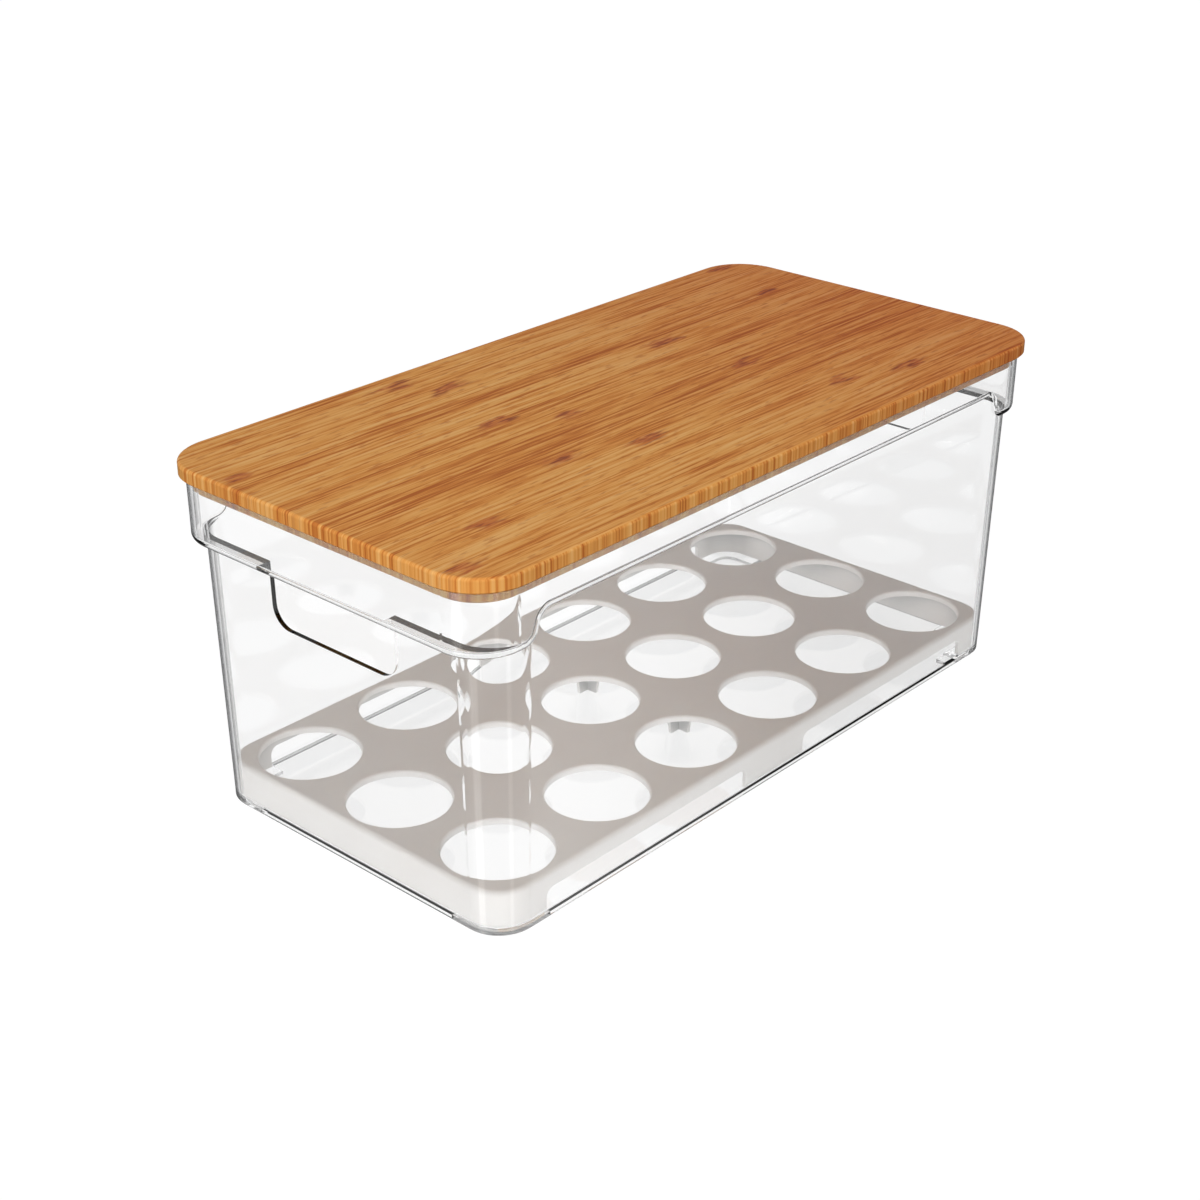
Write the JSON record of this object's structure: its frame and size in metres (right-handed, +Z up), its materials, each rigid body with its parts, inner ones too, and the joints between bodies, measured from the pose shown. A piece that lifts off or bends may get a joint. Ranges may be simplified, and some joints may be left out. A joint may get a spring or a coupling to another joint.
{
  "type": "egg keeper",
  "caption": "Clear kitchen bin with a stepped collar and hand holes, holding a lift-out tray with round egg holes, under a bamboo lid that drops into the rim.",
  "frame": {"origin": "on the table, under the middle of the bin", "axes": "+X along the bin's long side, +Y across it, +Z up"},
  "size_m": [0.32, 0.1592, 0.137],
  "materials": {
    "clear_plastic": "clear, polished",
    "tray_plastic": "satin, off-white",
    "bamboo": "satin, oiled"
  },
  "bodies": {
    "bin": {"clear_bin": "clear_plastic"},
    "tray": {"egg_tray": "tray_plastic"},
    "lid": {"bamboo_lid": "bamboo"}
  },
  "joints": [
    {"name": "tray_lift", "type": "slide", "parent": "bin", "child": "tray", "axis": [0, 0, 1], "range_m": [0, 0.135]},
    {"name": "lid_lift", "type": "slide", "parent": "tray", "child": "lid", "axis": [0, 0, 1], "range_m": [0, 0.08]}
  ]
}
